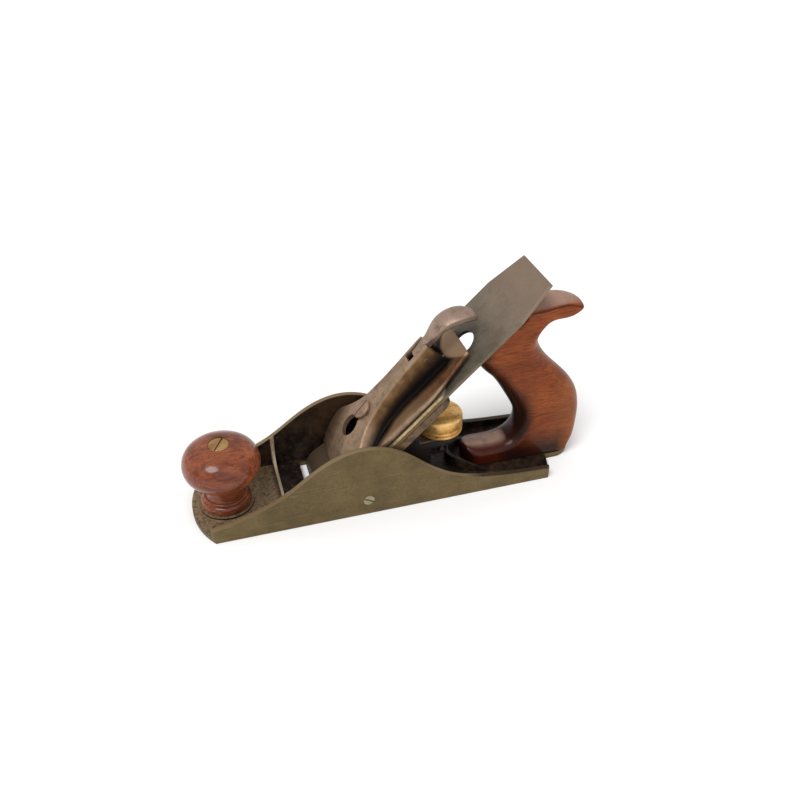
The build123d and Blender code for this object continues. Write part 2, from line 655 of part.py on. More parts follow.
def lever_cap_screw():
    """Round slotted head over the keyhole's narrow end, screwed into the frog."""
    top, foot = CAP_HEAD_N + CAP_HEAD_T, -CUTTER_T - FROG_T
    head = upright(CAP_HEAD_R, 0, 0, CAP_HEAD_N, top)
    head = fillet(head.edges().group_by(Axis.Z)[-1], 0.9)
    shank = upright(CAP_SCREW_R, 0, 0, foot, CAP_HEAD_N)
    slot = Rot(0, 0, 12) * screw_slot(CAP_HEAD_R, top, 1.1, 1.0)
    return BED * Pos(CAP_SCREW_S, 0, 0) * (head + shank - slot)


# ---------------------------------------------------------------- thumb lever

def cam_side():
    """Side view of the thumb lever: nose in the slot, arched back, curled tip."""
    upper = Spline(
        (112.6, 21.2), (121.0, 22.6), (129.0, 24.3), (138.0, 24.6),
        (146.0, 22.0), (152.5, 16.6), (155.6, 10.4),
        tangents=[(1, 0.1), (0.35, -1)],
    )
    lower = Spline(
        (153.2, 9.9), (149.4, 15.2), (142.8, 19.4), (133.0, 21.4), (124.6, 18.2), (120.2, 12.6),
        tangents=[(-0.35, 1), (-0.3, -1)],
    )
    return [
        upper,
        Line((155.6, 10.4), (153.2, 9.9)),
        lower,
        ThreePointArc((120.2, 12.6), (115.6, 9.2), (110.9, 13.0)),
        Line((110.9, 13.0), (110.6, 17.4)),
        Spline((110.6, 17.4), (111.2, 20.2), (112.6, 21.2), tangents=[(0.05, 1), (1, 0.1)]),
    ]


def cam_plan():
    """Top view of the thumb lever: narrow in the slot, then a broad rounded paddle."""
    neck, broad, start, tip = CAM_HALF, PAD_HALF, 125.0, 7.6
    widening = [(start, neck), (131.0, 6.4), (143.0, broad), (153.0, tip)]
    narrowing = [(s, -y) for s, y in reversed(widening)]
    return [
        Line((105, neck), (start, neck)),
        Spline(*widening, tangents=[(1, 0.1), (1, -0.12)]),
        ThreePointArc((153.0, tip), (157.0, 0), (153.0, -tip)),
        Spline(*narrowing, tangents=[(-1, -0.12), (-1, 0.1)]),
        Line((start, -neck), (105, -neck)),
        Line((105, -neck), (105, neck)),
    ]


def cam_lever():
    lever = side_plate(cam_side(), -PAD_HALF - 1, PAD_HALF + 1) & extrude(make_face(cam_plan()), amount=40)
    lever += Pos(CAM_S, 0, CAM_HEEL_N + CAM_R) * Cylinder(CAM_R, 2 * CAM_HALF, rotation=(90, 0, 0))
    lever -= Pos(CAM_S, 0, CAM_N) * Cylinder(CAM_PIN_R + RUN, 40, rotation=(90, 0, 0))
    return BED * lever


def cam_pin():
    return BED * Pos(CAM_S, 0, CAM_N) * Cylinder(CAM_PIN_R, 2 * CAM_PIN_HALF, rotation=(90, 0, 0))


def cap_spring():
    """Leaf spring that the cam presses down onto the cap iron."""
    low, fixed = CAP_IRON_T + 0.1, SPRING_TOP - SPRING_T
    front, bend, end = SPRING_S - 4, SPRING_S + 4, CAM_S + 3.4
    leaf = Polyline(
        (front, fixed), (bend, fixed), (bend + 12, low), (end, low), (end, low + SPRING_T),
        (bend + 12.3, low + SPRING_T), (bend + 0.3, SPRING_TOP), (front, SPRING_TOP), close=True,
    )
    strip = side_plate(leaf, -SPRING_HALF, SPRING_HALF)
    return BED * (strip - Pos(SPRING_S, 0, SPRING_TOP) * Cylinder(RIVET_R, 8))


def spring_rivet():
    head = upright(2.6, SPRING_S, 0, SPRING_TOP - SPRING_T - 1.0, SPRING_TOP - SPRING_T)
    return BED * (head + upright(RIVET_R, SPRING_S, 0, SPRING_TOP - SPRING_T, SPRING_TOP + 3.2))


PIECES = [
    body_casting, frog, frog_screws, frog_washers, frog_cross_screw, lever_cap_screw,
    front_knob, knob_bolt, knob_nut, rear_tote, tote_rod, tote_nut,
    depth_wheel, adjuster_post, post_link_pin, wheel_fork, fork_screws, lever_pivot_pin, adjusting_lever,
    cutter, cap_iron, cap_iron_screw, lever_cap, cam_lever, cam_pin, cap_spring, spring_rivet,
]

for piece in PIECES:
    solid = piece()
    print(piece.__name__, round(solid.volume, 1))
    export_step(solid, os.path.join(OUT, piece.__name__ + ".step"))
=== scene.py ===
import json
import math

import bmesh
import bpy
import numpy as np
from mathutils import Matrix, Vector


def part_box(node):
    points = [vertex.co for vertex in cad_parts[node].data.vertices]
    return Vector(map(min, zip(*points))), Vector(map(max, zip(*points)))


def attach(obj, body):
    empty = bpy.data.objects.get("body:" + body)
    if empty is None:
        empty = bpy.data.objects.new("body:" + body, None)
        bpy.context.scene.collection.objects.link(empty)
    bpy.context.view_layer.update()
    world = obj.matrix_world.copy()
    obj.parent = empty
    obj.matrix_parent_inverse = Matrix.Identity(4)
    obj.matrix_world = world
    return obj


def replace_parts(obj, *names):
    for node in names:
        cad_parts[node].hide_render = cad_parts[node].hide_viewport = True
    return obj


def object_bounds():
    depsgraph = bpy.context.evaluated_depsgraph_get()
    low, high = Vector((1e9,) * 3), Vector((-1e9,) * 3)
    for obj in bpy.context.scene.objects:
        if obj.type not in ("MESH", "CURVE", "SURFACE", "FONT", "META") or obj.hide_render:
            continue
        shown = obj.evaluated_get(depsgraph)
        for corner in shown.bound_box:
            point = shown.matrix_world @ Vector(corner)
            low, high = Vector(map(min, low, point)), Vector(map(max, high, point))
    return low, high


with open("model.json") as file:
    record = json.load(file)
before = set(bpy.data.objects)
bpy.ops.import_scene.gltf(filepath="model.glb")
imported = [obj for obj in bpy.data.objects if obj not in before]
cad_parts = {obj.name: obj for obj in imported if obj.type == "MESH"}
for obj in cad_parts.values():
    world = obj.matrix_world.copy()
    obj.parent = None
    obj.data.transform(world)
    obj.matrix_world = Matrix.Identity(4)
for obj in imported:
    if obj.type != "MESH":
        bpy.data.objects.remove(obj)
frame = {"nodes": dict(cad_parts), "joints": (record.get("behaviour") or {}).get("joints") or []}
cad_low, cad_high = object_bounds()
nodes = frame["nodes"]
joints = {j["name"]: j for j in frame["joints"]}

MM = 0.001

# Bed frame: s runs up the bed, y across it, n off the cutter's top face, all in millimetres.
UP_BED = Vector(joints["lever_cap_slide"]["axis"]).normalized()
OFF_BED = Vector((-UP_BED.z, 0, UP_BED.x))
CAM_S, CAM_N = 115.6, 14.5
CAM_PIVOT = Vector(joints["cam_lever_hinge"]["pos_m"])
BED_ORIGIN = CAM_PIVOT - UP_BED * CAM_S * MM - OFF_BED * CAM_N * MM

# The body casting, in metres.
SOLE_W = 2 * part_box("body_casting")[1].y
SOLE_END = 110 * MM
CHEEK_T = 3.5 * MM
FLOOR_Z = 4 * MM
RIB_X = -63 * MM

# The irons, the lever cap and the thumb lever, in bed millimetres.
CUTTER_HOLE_S, CUTTER_HOLE_R = 136.5, 8.3
IRON_EDGE = 25.85
CAP_FIRST, CAP_LAST = 22.0, 136.9
CAP_HALF = 25.3
SPINE_END = 122.4
WIDE_S, WIDE_R, NARROW_S, NARROW_R = 51.5, 7.1, 64.5, 3.8
SLOT_LOW, SLOT_HIGH, SLOT_HALF = 107.3, 123.8, 3.7
PAD_HALF = 8.4


def from_bed(s, y, n):
    """Row-frame point, in metres, of a point in the bed frame, in millimetres."""
    return BED_ORIGIN + UP_BED * s * MM + Vector((0, y * MM, 0)) + OFF_BED * n * MM


def to_bed(point):
    """(s, y, n) in millimetres of a row-frame point in metres."""
    offset = point - BED_ORIGIN
    return offset.dot(UP_BED) / MM, offset.y / MM, offset.dot(OFF_BED) / MM


# ------------------------------------------------------------------ mesh tools

def curve(points):
    """Smooth function through (x, value) points, without overshoot."""
    xs, ys = (np.array(v, float) for v in zip(*points))
    slopes = np.diff(ys) / np.diff(xs)
    tangent = np.zeros_like(xs)
    same = slopes[1:] * slopes[:-1] > 0
    total = np.where(same, slopes[1:] + slopes[:-1], 1.0)
    tangent[1:-1] = np.where(same, 2 * slopes[1:] * slopes[:-1] / total, 0.0)
    tangent[0], tangent[-1] = slopes[0], slopes[-1]

    def at(x):
        x = np.clip(x, xs[0], xs[-1])
        i = np.clip(np.searchsorted(xs, x, side="right") - 1, 0, len(xs) - 2)
        width = xs[i + 1] - xs[i]
        t = (x - xs[i]) / width
        return (
            ys[i] * (1 + 2 * t) * (1 - t) ** 2 + tangent[i] * width * t * (1 - t) ** 2
            + ys[i + 1] * t * t * (3 - 2 * t) + tangent[i + 1] * width * t * t * (t - 1)
        )
    return at


def new_piece(name, vertices, faces, body):
    """Smooth-shaded piece that rides a body."""
    mesh = bpy.data.meshes.new(name)
    mesh.from_pydata([tuple(v) for v in vertices], [], [tuple(f) for f in faces])
    mesh.validate()
    mesh.update()
    mesh.polygons.foreach_set("use_smooth", [True] * len(mesh.polygons))
    piece = bpy.data.objects.new(name, mesh)
    bpy.context.scene.collection.objects.link(piece)
    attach(piece, body)
    return piece


def apply_modifiers(piece):
    """Bakes a piece's modifiers into its mesh."""
    graph = bpy.context.evaluated_depsgraph_get()
    mesh = bpy.data.meshes.new_from_object(piece.evaluated_get(graph))
    piece.modifiers.clear()
    piece.data = mesh


def section(node, y):
    """Segments (in metres, X and Z) where a CAD node crosses a plane of constant y."""
    work = bmesh.new()
    work.from_mesh(nodes[node].data)
    parts = work.verts[:] + work.edges[:] + work.faces[:]
    cut = bmesh.ops.bisect_plane(work, geom=parts, plane_co=(0, y, 0), plane_no=(0, 1, 0))
    edges = [e for e in cut["geom_cut"] if isinstance(e, bmesh.types.BMEdge)]
    ends = [[(v.co.x, v.co.z) for v in e.verts] for e in edges]
    work.free()
    return np.array(ends)


def signed_distance(segments, px, pz):
    """Distance from points to an outline of loose segments, negative inside it."""
    tiny, far = 1e-18, 1e9
    a, b = segments[:, 0], segments[:, 1]
    along = b - a
    length = np.maximum((along ** 2).sum(1), tiny)
    best = np.full(px.shape, far)
    crossings = np.zeros(px.shape, int)
    for start, step, size, end in zip(a, along, length, b):
        t = np.clip(((px - start[0]) * step[0] + (pz - start[1]) * step[1]) / size, 0, 1)
        gap = (px - start[0] - t * step[0]) ** 2 + (pz - start[1] - t * step[1]) ** 2
        best = np.minimum(best, gap)
        if start[1] != end[1]:
            spans = (start[1] > pz) != (end[1] > pz)
            crossings += spans & (px < start[0] + (pz - start[1]) * step[0] / step[1])
    return np.sqrt(best) * np.where(crossings % 2 == 1, -1.0, 1.0)


def surface_net(field, low, step):
    """Vertices and quads of the surface where a grid of values changes sign; inside is negative."""
    inside = field < 0
    total = np.zeros(tuple(n - 1 for n in field.shape) + (3,))
    count = np.zeros(total.shape[:3])
    axes = (0, 1, 2)
    for axis in axes:
        first = [slice(None)] * 3
        second = [slice(None)] * 3
        first[axis], second[axis] = slice(None, -1), slice(1, None)
        va, vb = field[tuple(first)], field[tuple(second)]
        crosses = (va < 0) != (vb < 0)
        share = np.where(crosses, va / np.where(crosses, va - vb, 1.0), 0.0)
        u, v = [k for k in axes if k != axis]
        for du in (0, 1):
            for dv in (0, 1):
                pick = [slice(None)] * 3
                pick[u] = slice(du, field.shape[u] - 1 + du)
                pick[v] = slice(dv, field.shape[v] - 1 + dv)
                hit = crosses[tuple(pick)]
                total[..., axis] += np.where(hit, share[tuple(pick)], 0.0)
                total[..., u] += np.where(hit, du, 0.0)
                total[..., v] += np.where(hit, dv, 0.0)
                count += hit
    used = count > 0
    index = np.full(count.shape, -1)
    index[used] = np.arange(used.sum())
    cell = np.stack(np.nonzero(used), 1)
    vertices = np.array(low) + (cell + total[used] / count[used][:, None]) * step
    quads = []
    for axis in axes:
        u, v = (axis + 1) % 3, (axis + 2) % 3
        first = [slice(1, -1)] * 3
        second = [slice(1, -1)] * 3
        first[axis], second[axis] = slice(0, -1), slice(1, None)
        starts, ends = inside[tuple(first)], inside[tuple(second)]
        for found, flip in ((starts & ~ends, False), (~starts & ends, True)):
            spot = np.stack(np.nonzero(found), 1)
            spot[:, u] += 1
            spot[:, v] += 1
            ring = []
            for du, dv in ((-1, -1), (0, -1), (0, 0), (-1, 0)):
                corner = spot.copy()
                corner[:, u] += du
                corner[:, v] += dv
                ring.append(index[corner[:, 0], corner[:, 1], corner[:, 2]])
            quads.append(np.stack(ring[::-1] if flip else ring, 1))
    return vertices, np.concatenate(quads)


def round_edges(node, width, segments):
    """Softens a CAD node's sharp edges by `width` millimetres as they are shown."""
    same_point, sharp_angle = 0.001 * MM, math.radians(35)
    nodes[node].modifiers.new("joined", "WELD").merge_threshold = same_point
    bevel = nodes[node].modifiers.new("worn_edges", "BEVEL")
    bevel.width = width * MM
    bevel.segments = segments
    bevel.limit_method = "ANGLE"
    bevel.angle_limit = sharp_angle
    bevel.use_clamp_overlap = True
    bevel.harden_normals = False


# ------------------------------------------------------------------- materials

class Look:
    """A node material under construction. Coordinates are the row frame, in metres."""

    def __init__(self, name, metallic=0.0, roughness=0.5, coat=0.0, coat_roughness=0.1, specular=0.5):
        self.material = bpy.data.materials.new(name)
        self.material.use_nodes = True
        self.tree = self.material.node_tree
        self.shader = self.tree.nodes["Principled BSDF"]
        self.shader.inputs["Metallic"].default_value = metallic
        self.shader.inputs["Roughness"].default_value = roughness
        self.shader.inputs["Coat Weight"].default_value = coat
        self.shader.inputs["Coat Roughness"].default_value = coat_roughness
        self.shader.inputs["Specular IOR Level"].default_value = specular
        self.place = self.node("ShaderNodeTexCoord").outputs["Object"]

    def node(self, kind, **settings):
        made = self.tree.nodes.new(kind)
        for key, value in settings.items():
            setattr(made, key, value)
        return made

    def wire(self, source, target):
        if isinstance(source, (int, float)):
            target.default_value = source
        elif isinstance(source, tuple):
            target.default_value = (*source, 1.0)[:len(target.default_value)]
        else:
            self.tree.links.new(source, target)

    def stretched(self, scale, turn=(0, 0, 0)):
        mapping = self.node("ShaderNodeMapping")
        mapping.inputs["Scale"].default_value = scale
        mapping.inputs["Rotation"].default_value = [math.radians(a) for a in turn]
        self.wire(self.place, mapping.inputs["Vector"])
        return mapping.outputs["Vector"]

    def noise(self, size, detail=4.0, rough=0.55, stretch=(1, 1, 1), turn=(0, 0, 0), warp=0.0):
        """Noise whose features are about `size` millimetres wide."""
        texture = self.node("ShaderNodeTexNoise")
        texture.inputs["Scale"].default_value = 1.0 / (size * MM)
        texture.inputs["Detail"].default_value = detail
        texture.inputs["Roughness"].default_value = rough
        texture.inputs["Distortion"].default_value = warp
        self.wire(self.stretched(stretch, turn), texture.inputs["Vector"])
        return texture.outputs["Fac"]

    def ramp(self, value, low, high, bottom=0.0, top=1.0):
        """value between low and high, mapped to bottom and top and clamped."""
        mapped = self.node("ShaderNodeMapRange")
        mapped.clamp = True
        for key, number in (("From Min", low), ("From Max", high), ("To Min", bottom), ("To Max", top)):
            mapped.inputs[key].default_value = number
        self.wire(value, mapped.inputs["Value"])
        return mapped.outputs["Result"]

    def math(self, operation, a, b=0.0):
        made = self.node("ShaderNodeMath", operation=operation)
        self.wire(a, made.inputs[0])
        self.wire(b, made.inputs[1])
        return made.outputs[0]

    def mix(self, share, a, b):
        """Colour a, with b laid over it by share."""
        made = self.node("ShaderNodeMix", data_type="RGBA")
        factor, first_colour, second_colour, mixed_colour = 0, 6, 7, 2
        self.wire(share, made.inputs[factor])
        self.wire(a, made.inputs[first_colour])
        self.wire(b, made.inputs[second_colour])
        return made.outputs[mixed_colour]

    def axis(self, name, source=None):
        split = self.node("ShaderNodeSeparateXYZ")
        self.wire(source or self.place, split.inputs[0])
        return split.outputs[name]

    def along(self, direction, origin):
        """Distance in millimetres along a direction from a row-frame point."""
        made = self.node("ShaderNodeVectorMath", operation="DOT_PRODUCT")
        self.wire(self.place, made.inputs[0])
        made.inputs[1].default_value = direction / MM
        return self.math("SUBTRACT", made.outputs["Value"], origin.dot(direction) / MM)

    def band(self, value, low, high, soft):
        """1 between low and high, fading to 0 over `soft` outside them."""
        rise = self.ramp(value, low - soft, low)
        return self.math("MULTIPLY", rise, self.ramp(value, high, high + soft, 1, 0))

    def across(self):
        """Distance in millimetres from the middle plane."""
        return self.math("MULTIPLY", self.math("ABSOLUTE", self.axis("Y")), 1 / MM)

    def times(self, *values):
        total = values[0]
        for value in values[1:]:
            total = self.math("MULTIPLY", total, value)
        return total

    def normal(self, name):
        """One component of the surface's direction."""
        return self.axis(name, self.node("ShaderNodeNewGeometry").outputs["Normal"])

    def colour(self, source):
        self.wire(source, self.shader.inputs["Base Color"])

    def roughness(self, source):
        self.wire(source, self.shader.inputs["Roughness"])

    def bump(self, height, depth, strength=1.0):
        made = self.node("ShaderNodeBump")
        made.inputs["Strength"].default_value = strength
        made.inputs["Distance"].default_value = depth * MM
        self.wire(height, made.inputs["Height"])
        self.wire(made.outputs["Normal"], self.shader.inputs["Normal"])

    def onto(self, *pieces):
        for piece in pieces:
            piece.data.materials.clear()
            piece.data.materials.append(self.material)


def srgb(red, green, blue):
    """Linear colour of an 8-bit display colour."""
    last_linear, linear_slope = 10, 3295

    def linear(value):
        return ((value / 255 + 0.055) / 1.055) ** 2.4 if value > last_linear else value / linear_slope
    return tuple(linear(value) for value in (red, green, blue))


def casting_look():
    """Bare olive-brown iron outside, worn dark japanning inside, lighter rubbed rims."""
    look = Look("casting_iron", metallic=0.3, specular=0.3)
    x, z, facing_up = look.axis("X"), look.axis("Z"), look.normal("Z")
    broad = look.noise(22, 5, 0.6)
    fine = look.noise(1.6, 6, 0.65)
    scratch = look.noise(1.1, 3, 0.6, stretch=(0.05, 1, 1), turn=(0, 6, 0))
    brown, olive = srgb(84, 70, 40), srgb(104, 87, 54)
    speck, scratched = srgb(74, 58, 32), srgb(134, 118, 84)
    bare = look.mix(look.ramp(broad, 0.35, 0.65), brown, olive)
    bare = look.mix(look.ramp(fine, 0.45, 0.7, 0, 0.5), bare, speck)
    bare = look.mix(look.ramp(scratch, 0.6, 0.72, 0, 0.3), bare, scratched)
    japan, faded, chipped = srgb(16, 11, 8), srgb(58, 43, 32), srgb(86, 64, 48)
    worn = look.mix(look.ramp(look.noise(9, 6, 0.7), 0.42, 0.62), japan, faded)
    worn = look.mix(look.ramp(look.noise(3, 6, 0.7), 0.56, 0.7, 0, 0.8), worn, chipped)
    toe_grey = look.times(look.ramp(x, RIB_X - 4 * MM, RIB_X, 1, 0), look.ramp(fine, 0.35, 0.6, 0.2, 0.8))
    worn = look.mix(look.times(toe_grey, look.ramp(facing_up, 0.6, 0.9)), worn, srgb(158, 132, 100))
    humps = look.times(look.band(x, -34 * MM, -5 * MM, 20 * MM), look.ramp(z, 14 * MM, 40 * MM))
    worn = look.mix(look.times(humps, look.ramp(broad, 0.3, 0.6, 0.2, 0.55)), worn, srgb(86, 62, 40))
    cheek_face = SOLE_W / 2 - CHEEK_T
    from_middle = look.math("ABSOLUTE", look.axis("Y"))
    between = look.ramp(from_middle, cheek_face + 0.1 * MM, cheek_face + 0.5 * MM, 1, 0)
    before_end = look.ramp(x, SOLE_END, SOLE_END + 2 * MM, 1, 0)
    inner = look.times(between, look.math("MAXIMUM", before_end, look.ramp(facing_up, 0.4, 0.8)))
    above_sole = look.ramp(z, FLOOR_Z - 1.2 * MM, FLOOR_Z - 0.4 * MM)
    tint = look.mix(look.times(inner, above_sole), bare, worn)
    rim = look.times(look.ramp(facing_up, 0.25, 0.6), look.ramp(inner, 0, 1, 1, 0))
    tail_rim = look.times(rim, look.band(x, 62 * MM, SOLE_END, 12 * MM))
    rib = look.times(look.band(x, RIB_X - 1.2 * MM, RIB_X + 1.2 * MM, 0.1 * MM),
                     look.ramp(z, FLOOR_Z + 0.6 * MM, FLOOR_Z + 1.6 * MM))
    tint = look.mix(look.math("MULTIPLY", rim, 0.6), tint, srgb(140, 118, 88))
    tint = look.mix(look.math("MULTIPLY", tail_rim, 0.85), tint, srgb(40, 30, 24))
    tint = look.mix(look.times(rib, inner, look.ramp(fine, 0.3, 0.6, 0.7, 1.0)), tint, srgb(176, 156, 130))
    look.colour(tint)
    look.roughness(look.ramp(fine, 0.3, 0.75, 0.38, 0.58))
    look.bump(look.math("ADD", fine, look.math("MULTIPLY", broad, 2.0)), 0.05, 0.5)
    return look


def patina_look(name, light, mid, dark, extra_tint=None, metallic=0.55, specular=0.5):
    """Worn grey-brown metal in three display colours, with what the extra tint function adds: marks of use,
    and on some pieces painted shade and light.
    """
    light, mid, dark = (srgb(*tone) for tone in (light, mid, dark))
    look = Look(name, metallic=metallic, roughness=0.45, specular=specular)
    broad = look.noise(16, 6, 0.62)
    fine = look.noise(1.3, 6, 0.7)
    tint = look.mix(look.ramp(broad, 0.36, 0.62), mid, light)
    tint = look.mix(look.ramp(look.noise(5, 5, 0.65), 0.5, 0.72, 0, 0.7), tint, dark)
    tint = look.mix(look.ramp(fine, 0.5, 0.75, 0, 0.35), tint, dark)
    if extra_tint:
        tint = extra_tint(look, tint)
    look.colour(tint)
    look.roughness(look.ramp(fine, 0.3, 0.8, 0.36, 0.6))
    look.bump(fine, 0.03, 0.5)
    return look


def wood_look(name, light, mid, dark, pore_stretch, gloss, coat, shade=None):
    """Polished hardwood in three display colours, with fine dark pores drawn out along the grain."""
    light, mid, dark = (srgb(*tone) for tone in (light, mid, dark))
    look = Look(name, coat=coat, coat_roughness=0.12, specular=0.1)
    broad = look.noise(14, 4, 0.6, stretch=(0.35, 1, 1), warp=0.6)
    pores = look.noise(0.7, 4, 0.7, stretch=pore_stretch)
    lines = look.noise(1.8, 3, 0.6, stretch=pore_stretch, warp=0.4)
    tint = look.mix(look.ramp(broad, 0.36, 0.64), mid, light)
    tint = look.mix(look.ramp(lines, 0.46, 0.66, 0, 0.45), tint, dark)
    tint = look.mix(look.ramp(pores, 0.5, 0.66, 0, 0.8), tint, dark)
    if shade:
        tint = shade(look, tint, dark)
    look.colour(tint)
    look.roughness(look.ramp(pores, 0.35, 0.7, gloss, gloss + 0.18))
    look.bump(look.ramp(pores, 0.5, 0.75, 1, 0), 0.05, 0.4)
    return look


def tote_shade(look, tint, dark):
    """Painted shade on the inner front, in the hand gap and low down by the casting; a deep red toe and a
    paler palm; a painted sheen on the upward-facing tops of the toe and horn, edged by a painted shade line.
    """
    x, z, facing_up = look.axis("X"), look.axis("Z"), look.normal("Z")
    # Painted shade on the grip's inner front, which faces the toe.
    front = look.times(look.ramp(x, 96 * MM, 106 * MM, 1, 0), look.ramp(z, 50 * MM, 72 * MM, 1, 0))
    front_shade = look.times(front, look.ramp(look.noise(16, 4, 0.6), 0.3, 0.6, 0.5, 1))
    tint = look.mix(look.math("MULTIPLY", front_shade, 0.75), tint, look.mix(0.4, dark, srgb(60, 18, 8)))
    palm = look.times(look.ramp(x, 112 * MM, 136 * MM), look.ramp(z, 70 * MM, 86 * MM, 1, 0))
    tint = look.mix(look.math("MULTIPLY", palm, 0.45), tint, srgb(132, 84, 44))
    toe = look.times(look.ramp(x, 86 * MM, 100 * MM, 1, 0), look.ramp(z, 34 * MM, 46 * MM, 1, 0))
    tint = look.mix(look.math("MULTIPLY", toe, 0.8), tint, srgb(56, 13, 8))
    # Painted shade, near black: low on the handle by the casting, and on the toe-facing inner curve of the
    # hand gap.
    low = look.times(look.band(x, 88 * MM, 122 * MM, 10 * MM), look.ramp(z, 10 * MM, 26 * MM, 1, 0))
    gap = look.times(look.ramp(look.normal("X"), -0.6, -0.15, 1, 0), look.ramp(z, 90 * MM, 106 * MM, 1, 0))
    tint = look.mix(look.math("MULTIPLY", look.math("MAXIMUM", low, gap), 0.92), tint, srgb(26, 11, 7))
    middle = look.ramp(look.math("ABSOLUTE", look.axis("Y")), 4 * MM, 9 * MM, 1, 0)
    tops = look.math("MAXIMUM", look.times(toe, middle), look.ramp(z, 98 * MM, 104 * MM))
    # Painted shade line where the upward-facing tops of the toe and horn turn down.
    tint = look.mix(look.times(tops, look.band(facing_up, 0.3, 0.66, 0.15), 0.7), tint, srgb(52, 18, 10))
    # Painted sheen on those upward-facing tops.
    pale_mottle = look.ramp(look.noise(5, 4, 0.6), 0.3, 0.6, 0.55, 0.9)
    return look.mix(look.times(tops, look.ramp(facing_up, 0.84, 0.97), pale_mottle), tint, srgb(152, 124, 108))


def wheel_grooves(look, tint):
    """Depth wheel: darker in the two grooves round its rim."""
    x, y, _ = joints["depth_wheel_spin"]["pos_m"]
    beside = look.math("SUBTRACT", look.axis("X"), x)
    across = look.math("SUBTRACT", look.axis("Y"), y)
    radius = look.math("SQRT", look.math("ADD", look.times(beside, beside), look.times(across, across)))
    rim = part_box("depth_wheel")[1].y
    upright = look.ramp(look.math("ABSOLUTE", look.normal("Z")), 0.3, 0.6, 1, 0)
    groove_dark = look.times(look.ramp(radius, rim - 0.6 * MM, rim - 0.2 * MM, 1, 0), upright)
    return look.mix(look.math("MULTIPLY", groove_dark, 0.85), tint, srgb(70, 44, 18))


def brass_look(name, dull, bright, extra_tint=None):
    """Aged brass in two display colours, with brown spots and what the extra tint function adds."""
    look = Look(name, metallic=0.75)
    spots = look.noise(2.4, 5, 0.6)
    tint = look.mix(look.ramp(look.noise(7, 5, 0.6), 0.35, 0.65), srgb(*dull), srgb(*bright))
    tint = look.mix(look.ramp(spots, 0.58, 0.68, 0, 0.8), tint, srgb(96, 60, 26))
    tint = look.mix(look.ramp(look.noise(0.9, 4, 0.7), 0.6, 0.7, 0, 0.6), tint, srgb(110, 72, 34))
    if extra_tint:
        tint = extra_tint(look, tint)
    look.colour(tint)
    look.roughness(look.ramp(spots, 0.3, 0.8, 0.3, 0.55))
    look.bump(spots, 0.03, 0.4)
    return look


# ---------------------------------------------------------------------- pieces

def handle():
    """The rear handle: the CAD's side view, rounded over like a hand grip."""
    step = 0.8 * MM
    margin = 2 * step
    low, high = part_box("rear_tote")
    half = high.y
    count = [int(math.ceil((high[k] - low[k] + 2 * margin) / step)) for k in range(3)]
    start = [low[k] - margin for k in range(3)]
    x, y, z = (start[k] + np.arange(count[k]) * step for k in range(3))

    # Depth inside two side views joined: one beside the rod's bore, one through the middle. Their foot lines
    # are left out, so the sides run straight down to the casting.
    beside_bore, middle = 0.63 * half, 0.01 * half
    lowest_sample, foot_line = FLOOR_Z + 0.1 * MM, FLOOR_Z + 0.2 * MM
    px, pz = np.meshgrid(x, np.maximum(z, lowest_sample), indexing="ij")
    views = [section("rear_tote", at) for at in (beside_bore, middle)]
    above_foot = [ends[ends[..., 1].max(1) > foot_line] for ends in views]
    depth = -np.minimum(*(signed_distance(ends, px, pz) for ends in above_foot))

    # How far in from the outline the rounding reaches, by height over the foot, and less at the toe.
    height = (pz - FLOOR_Z) / MM
    reach = curve([
        (0, 2.6), (5, 5.0), (14, 7.0), (26, 9.5), (40, 12.0), (80, 12.0), (94, 6.0), (102, 3.2),
        (116, 2.6)])(height) * MM
    toe_reach, toe_growth = 3.0, 0.8
    reach = np.minimum(reach, np.clip((px - low.x) / MM * toe_growth + toe_reach, toe_reach, 40) * MM)

    # Half the thickness: the horn thins towards its tip, and the toe is round in plan.
    thick = np.full(px.shape, half)
    horn_x, horn_length, horn_height, thinning = 104 * MM, 28 * MM, 88, 2.6 * MM
    horn = np.clip((px - horn_x) / horn_length, 0, 1) * np.clip((height - horn_height) / 10, 0, 1)
    thick -= horn * thinning
    thick *= np.sqrt(np.clip(1 - np.clip((low.x + half - px) / half, 0, 0.98) ** 2, 0.04, 1))

    edge = np.maximum(reach - depth, 0) / reach
    field = (edge ** 2)[:, None, :] + (np.abs(y)[None, :, None] / thick[:, None, :]) ** 2 - 1
    field = np.maximum(field, (FLOOR_Z - z)[None, None, :] / MM)
    vertices, faces = surface_net(field, start, step)
    piece = new_piece("tote_grip", vertices, faces, "plane_body")
    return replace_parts(piece, "rear_tote")


def cap_half_width(s):
    """Half the lever cap's width, with its upper corners drawn in."""
    return curve([(21, CAP_HALF), (98, CAP_HALF), (104, 24.8), (122, 20.9), (137, 17.1)])(s)


